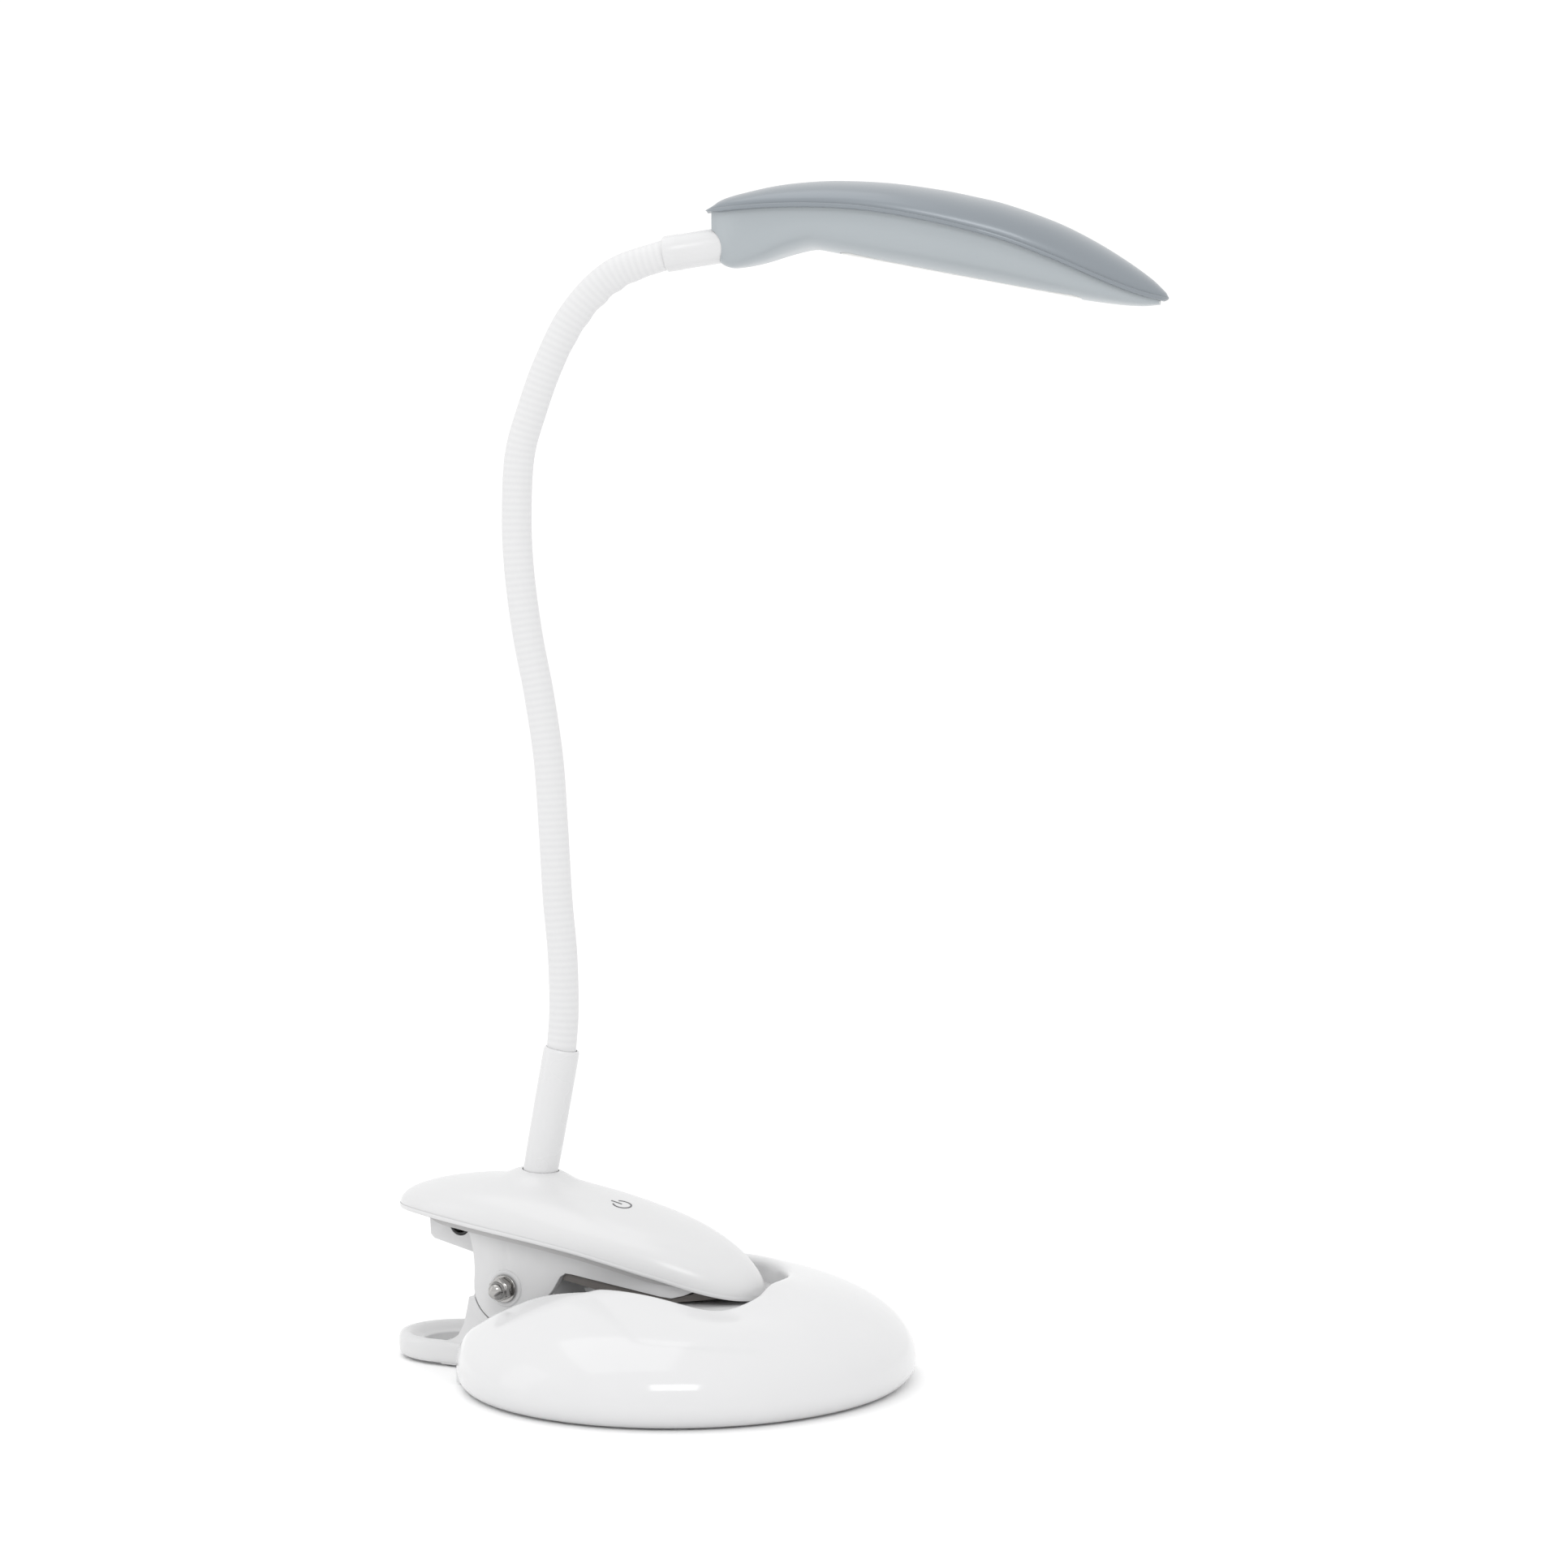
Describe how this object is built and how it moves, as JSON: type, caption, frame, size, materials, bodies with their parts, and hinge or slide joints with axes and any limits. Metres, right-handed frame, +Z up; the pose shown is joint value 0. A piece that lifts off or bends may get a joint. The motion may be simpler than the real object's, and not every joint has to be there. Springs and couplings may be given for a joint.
{
  "type": "clip-on reading lamp",
  "caption": "Clip-on reading lamp: a leaf-shaped light head on a bendable sleeved neck, rising from a sprung clip that docks in a weighted pebble-shaped desk stand.",
  "frame": {"origin": "middle of the stand's underside, on the surface that the lamp stands on", "axes": "+X towards the nose of the docked clip, +Y towards the far side, +Z up"},
  "size_m": [0.2576, 0.164, 0.4035],
  "materials": {
    "stand_white": "high-gloss injection-moulded white ABS",
    "clip_white": "satin-gloss white ABS",
    "ferrule_white": "satin white ABS",
    "neck_white": "matte-satin white PVC sleeve",
    "neck_steel": "wound steel hose",
    "cover_grey": "satin blue-grey ABS",
    "housing_silver": "satin silver-grey ABS",
    "diffuser": "frosted polycarbonate",
    "board_white": "white solder mask on a metal-core board",
    "led_yellow": "phosphor packages on a strip",
    "board_green": "green solder mask",
    "copper": "bare copper",
    "rubber_grey": "moulded grip rubber",
    "foot_rubber": "matte foot rubber",
    "plate_white": "plain moulded ABS",
    "ballast_steel": "zinc-coated steel plate",
    "polished_steel": "polished nickel-plated steel",
    "screw_steel": "zinc-plated steel",
    "spring_steel": "bright spring wire",
    "jack_black": "black moulded nylon"
  },
  "bodies": {
    "stand": {"stand_shell": "stand_white", "stand_liner": "stand_white", "stand_ballast": "ballast_steel", "stand_bottom_plate": "plate_white", "stand_foot_pad": "foot_rubber", "stand_screw_1": "screw_steel", "stand_screw_2": "screw_steel", "stand_screw_3": "screw_steel", "stand_screw_4": "screw_steel"},
    "lower_jaw": {"lower_jaw_frame": "clip_white", "lower_jaw_pad": "rubber_grey", "pivot_bolt": "polished_steel", "pivot_cap_nut": "polished_steel", "pivot_washer": "polished_steel", "jaw_spring_coil": "spring_steel"},
    "upper_jaw": {"jaw_top_shell": "clip_white", "jaw_tray": "clip_white", "upper_jaw_pad": "rubber_grey", "touch_circuit_board": "board_green", "touch_electrode": "copper", "dc_jack": "jack_black", "dc_jack_pin": "polished_steel", "neck_lock_nut": "screw_steel", "tray_screw_1": "screw_steel", "tray_screw_2": "screw_steel", "tray_screw_3": "screw_steel", "neck_base_ferrule": "ferrule_white", "jaw_spring_upper_leg": "spring_steel"},
    "neck_1": {"neck_sleeve_1": "neck_white", "neck_core_1": "neck_steel"},
    "neck_2": {"neck_sleeve_2": "neck_white", "neck_core_2": "neck_steel"},
    "neck_3": {"neck_sleeve_3": "neck_white", "neck_core_3": "neck_steel"},
    "neck_4": {"neck_sleeve_4": "neck_white", "neck_core_4": "neck_steel"},
    "neck_5": {"neck_sleeve_5": "neck_white", "neck_core_5": "neck_steel"},
    "neck_6": {"neck_sleeve_6": "neck_white", "neck_core_6": "neck_steel"},
    "neck_7": {"neck_sleeve_7": "neck_white", "neck_core_7": "neck_steel"},
    "neck_8": {"neck_sleeve_8": "neck_white", "neck_core_8": "neck_steel"},
    "neck_9": {"neck_sleeve_9": "neck_white", "neck_core_9": "neck_steel"},
    "head": {"neck_head_ferrule": "ferrule_white", "head_lower_housing": "housing_silver", "head_top_cover": "cover_grey", "head_diffuser": "diffuser", "led_board": "board_white", "led_strip": "led_yellow", "board_screw_1": "screw_steel", "board_screw_2": "screw_steel"}
  },
  "joints": [
    {"name": "dock_slide", "type": "slide", "parent": "stand", "child": "lower_jaw", "axis": [-1, 0, 0], "range_m": [0, 0.12]},
    {"name": "jaw_hinge", "type": "hinge", "parent": "lower_jaw", "child": "upper_jaw", "pos_m": [-0.06, 0, 0.0295], "axis": [0, -1, 0], "range_deg": [0, 22], "stiffness_Nm_per_rad": 0.9, "springref_deg": -40.11},
    {"name": "neck_bend", "type": "hinge", "parent": "upper_jaw", "child": "neck_1", "pos_m": [-0.05077, 0.00232, 0.107], "axis": [-0.309, 0.9511, 0], "range_deg": [-10, 10]},
    {"name": "neck_side", "type": "hinge", "parent": "neck_1", "child": "neck_2", "pos_m": [-0.04996, 0.00258, 0.13992], "axis": [0.95, 0.3087, 0.0466], "range_deg": [-11, 11]},
    {"name": "neck_bend_2", "type": "hinge", "parent": "neck_2", "child": "neck_3", "pos_m": [-0.05227, 0.00183, 0.17279], "axis": [-0.309, 0.9511, 0], "range_deg": [-10, 10]},
    {"name": "neck_side_2", "type": "hinge", "parent": "neck_3", "child": "neck_4", "pos_m": [-0.05417, 0.00121, 0.20569], "axis": [0.9473, 0.3078, 0.0889], "range_deg": [-11, 11]},
    {"name": "neck_bend_3", "type": "hinge", "parent": "neck_4", "child": "neck_5", "pos_m": [-0.05882, -0.0003, 0.23828], "axis": [-0.309, 0.9511, 0], "range_deg": [-10, 10]},
    {"name": "neck_side_3", "type": "hinge", "parent": "neck_5", "child": "neck_6", "pos_m": [-0.06371, -0.00189, 0.27083], "axis": [0.9463, 0.3075, 0.1], "range_deg": [-11, 11]},
    {"name": "neck_bend_4", "type": "hinge", "parent": "neck_6", "child": "neck_7", "pos_m": [-0.06433, -0.00209, 0.30375], "axis": [-0.309, 0.9511, 0], "range_deg": [-10, 10]},
    {"name": "neck_side_4", "type": "hinge", "parent": "neck_7", "child": "neck_8", "pos_m": [-0.05677, 0.00037, 0.33558], "axis": [0.8925, 0.29, -0.3454], "range_deg": [-11, 11]},
    {"name": "neck_bend_5", "type": "hinge", "parent": "neck_8", "child": "neck_9", "pos_m": [-0.04192, 0.00519, 0.36441], "axis": [-0.309, 0.9511, 0], "range_deg": [-10, 10]},
    {"name": "neck_bend_6", "type": "hinge", "parent": "neck_9", "child": "head", "pos_m": [-0.01482, 0.014, 0.3796], "axis": [-0.309, 0.9511, 0], "range_deg": [-10, 10]}
  ],
  "couplings": [
    {"joint": "neck_bend_2", "follows": "neck_bend", "ratio": 1},
    {"joint": "neck_side_2", "follows": "neck_side", "ratio": 1},
    {"joint": "neck_bend_3", "follows": "neck_bend", "ratio": 1},
    {"joint": "neck_side_3", "follows": "neck_side", "ratio": 1},
    {"joint": "neck_bend_4", "follows": "neck_bend", "ratio": 1},
    {"joint": "neck_side_4", "follows": "neck_side", "ratio": 1},
    {"joint": "neck_bend_5", "follows": "neck_bend", "ratio": 1},
    {"joint": "neck_bend_6", "follows": "neck_bend", "ratio": 1}
  ]
}
